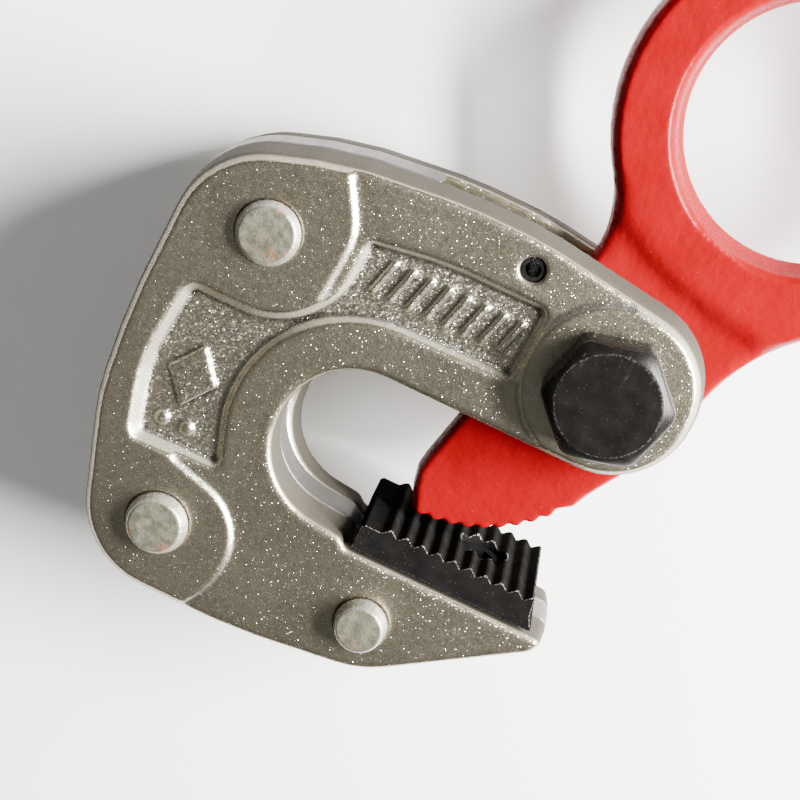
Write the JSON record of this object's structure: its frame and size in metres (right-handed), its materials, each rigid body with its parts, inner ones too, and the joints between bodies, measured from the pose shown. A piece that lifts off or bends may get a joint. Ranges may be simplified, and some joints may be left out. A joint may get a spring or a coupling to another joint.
{
  "type": "plate lifting clamp",
  "caption": "Horizontal plate lifting clamp: riveted C-shaped frame of cast side plates, and a ringed lever whose toothed cam closes on a jaw pad.",
  "frame": {"origin": "on the lever's pivot axis, at the end face of the pivot bolt, which is the lowest plane when the clamp lies on its rear side", "axes": "+Z across the plates along the pivot bolt, towards the bolt head; +X along the jaw towards its mouth; +Y from the jaw towards the lifting ring"},
  "size_m": [0.189, 0.2321, 0.0608],
  "materials": {
    "front_side_plate": "zinc plated casting",
    "rear_side_plate": "zinc plated casting",
    "spacer_plate": "plated steel plate",
    "lifting_lever": "gloss red paint over a forging",
    "lever_bush": "machined",
    "pivot_sleeve": "ground",
    "pivot_bolt": "black oxide",
    "pivot_spring_washer": "black oxide",
    "pivot_nut": "black oxide",
    "rivet_upper": "matte, hammered end",
    "rivet_heel": "matte, hammered end",
    "rivet_jaw": "matte, hammered end",
    "stop_pin": "spring steel",
    "jaw_pad": "hardened, black",
    "jaw_pad_screw": "black oxide"
  },
  "bodies": {
    "frame": {"front_side_plate": "front_side_plate", "rear_side_plate": "rear_side_plate", "spacer_plate": "spacer_plate", "pivot_sleeve": "pivot_sleeve", "pivot_bolt": "pivot_bolt", "pivot_spring_washer": "pivot_spring_washer", "pivot_nut": "pivot_nut", "rivet_upper": "rivet_upper", "rivet_heel": "rivet_heel", "rivet_jaw": "rivet_jaw", "stop_pin": "stop_pin", "jaw_pad": "jaw_pad", "jaw_pad_screw": "jaw_pad_screw"},
    "lever": {"lifting_lever": "lifting_lever", "lever_bush": "lever_bush"}
  },
  "joints": [
    {"name": "lever_pivot", "type": "hinge", "parent": "frame", "child": "lever", "pos_m": [0, 0, 0.03], "axis": [0, 0, 1], "range_deg": [-62, 2]}
  ]
}
